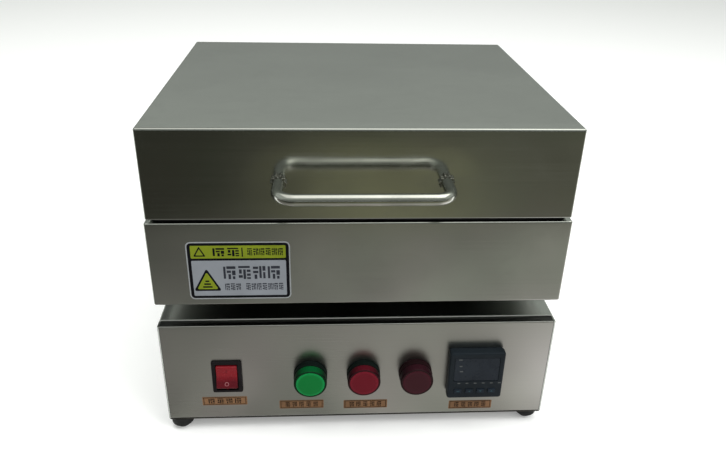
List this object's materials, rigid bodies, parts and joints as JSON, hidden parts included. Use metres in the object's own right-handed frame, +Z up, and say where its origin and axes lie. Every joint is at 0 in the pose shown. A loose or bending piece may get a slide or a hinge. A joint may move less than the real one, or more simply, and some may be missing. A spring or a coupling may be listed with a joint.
{
  "type": "reflow oven",
  "caption": "Benchtop reflow oven with a rear-hinged insulated lid over a heated plate, standing on a control box with switch, pilot lamps and temperature controller.",
  "frame": {"origin": "middle of the bounding box, on the plane that the feet stand on", "axes": "+Z up, -Y towards the handle and the controls, +X to the right as seen from the front"},
  "size_m": [0.338, 0.3466, 0.287],
  "materials": {
    "brushed_steel": "brushed stainless sheet",
    "dull_steel": "plain mill finish",
    "handle_steel": "polished",
    "plate_aluminium": "machined",
    "black_rubber": "matt",
    "black_plastic": "satin",
    "meter_plastic": "satin",
    "meter_window": "gloss",
    "key_plastic": "satin",
    "green_lens": "gloss",
    "red_lens": "gloss",
    "dark_red_lens": "gloss",
    "rocker_red": "gloss",
    "ceramic": "unglazed",
    "ceramic_fibre": "fibre blanket",
    "white_plastic": "satin",
    "lead_red": "satin",
    "lead_blue": "satin"
  },
  "bodies": {
    "base": {"bottom_plate": "dull_steel", "control_cover": "brushed_steel", "control_lead": "black_rubber", "controller_case": "meter_plastic", "controller_window": "meter_window", "feed_through": "ceramic", "foot_front_left": "black_rubber", "foot_front_right": "black_rubber", "foot_rear_left": "black_rubber", "foot_rear_right": "black_rubber", "front_panel": "brushed_steel", "heater_lead_live": "lead_red", "heater_lead_neutral": "lead_blue", "heating_element": "dull_steel", "hinge_body_leaf_left": "dull_steel", "hinge_body_leaf_right": "dull_steel", "hinge_pin_left": "handle_steel", "hinge_pin_right": "handle_steel", "hot_plate": "plate_aluminium", "lamp_body_alarm": "dark_red_lens", "lamp_body_green": "black_plastic", "lamp_body_red": "black_plastic", "lamp_lens_alarm": "dark_red_lens", "lamp_lens_green": "green_lens", "lamp_lens_red": "red_lens", "lamp_nut_alarm": "white_plastic", "lamp_nut_green": "white_plastic", "lamp_nut_red": "white_plastic", "mains_lead": "black_rubber", "oven_insulation": "ceramic_fibre", "oven_liner": "dull_steel", "oven_shell": "brushed_steel", "power_inlet": "black_plastic", "rear_panel": "brushed_steel", "relay_heatsink": "plate_aluminium", "seal_gasket": "black_rubber", "solid_state_relay": "white_plastic", "standoff_front_left": "dull_steel", "standoff_front_right": "dull_steel", "standoff_rear_left": "dull_steel", "standoff_rear_right": "dull_steel", "switch_housing": "black_plastic", "terminal_block": "black_plastic", "thermocouple": "dull_steel", "wire_conduit": "dull_steel"},
    "lid": {"lid_shell": "brushed_steel", "lid_liner": "dull_steel", "lid_insulation": "ceramic_fibre", "handle": "handle_steel", "handle_collar_left": "handle_steel", "handle_collar_right": "handle_steel", "handle_nut_left": "handle_steel", "handle_nut_right": "handle_steel", "hinge_lid_leaf_left": "dull_steel", "hinge_lid_leaf_right": "dull_steel"},
    "rocker": {"rocker_button": "rocker_red"},
    "key_set": {"controller_key_set": "key_plastic"},
    "key_shift": {"controller_key_shift": "key_plastic"},
    "key_down": {"controller_key_down": "key_plastic"},
    "key_up": {"controller_key_up": "key_plastic"}
  },
  "joints": [
    {"name": "lid_hinge", "type": "hinge", "parent": "base", "child": "lid", "pos_m": [0, 0.15971, 0.2114], "axis": [-1, 0, 0], "range_deg": [0, 100]},
    {"name": "power_rocker", "type": "hinge", "parent": "base", "child": "rocker", "pos_m": [-0.1145, -0.13109, 0.0612], "axis": [1, 0, 0], "range_deg": [0, 22]},
    {"name": "set_key_press", "type": "slide", "parent": "base", "child": "key_set", "axis": [0, 1, 0], "range_m": [0, 0.0006], "stiffness_N_per_m": 400},
    {"name": "shift_key_press", "type": "slide", "parent": "base", "child": "key_shift", "axis": [0, 1, 0], "range_m": [0, 0.0006], "stiffness_N_per_m": 400},
    {"name": "down_key_press", "type": "slide", "parent": "base", "child": "key_down", "axis": [0, 1, 0], "range_m": [0, 0.0006], "stiffness_N_per_m": 400},
    {"name": "up_key_press", "type": "slide", "parent": "base", "child": "key_up", "axis": [0, 1, 0], "range_m": [0, 0.0006], "stiffness_N_per_m": 400}
  ]
}
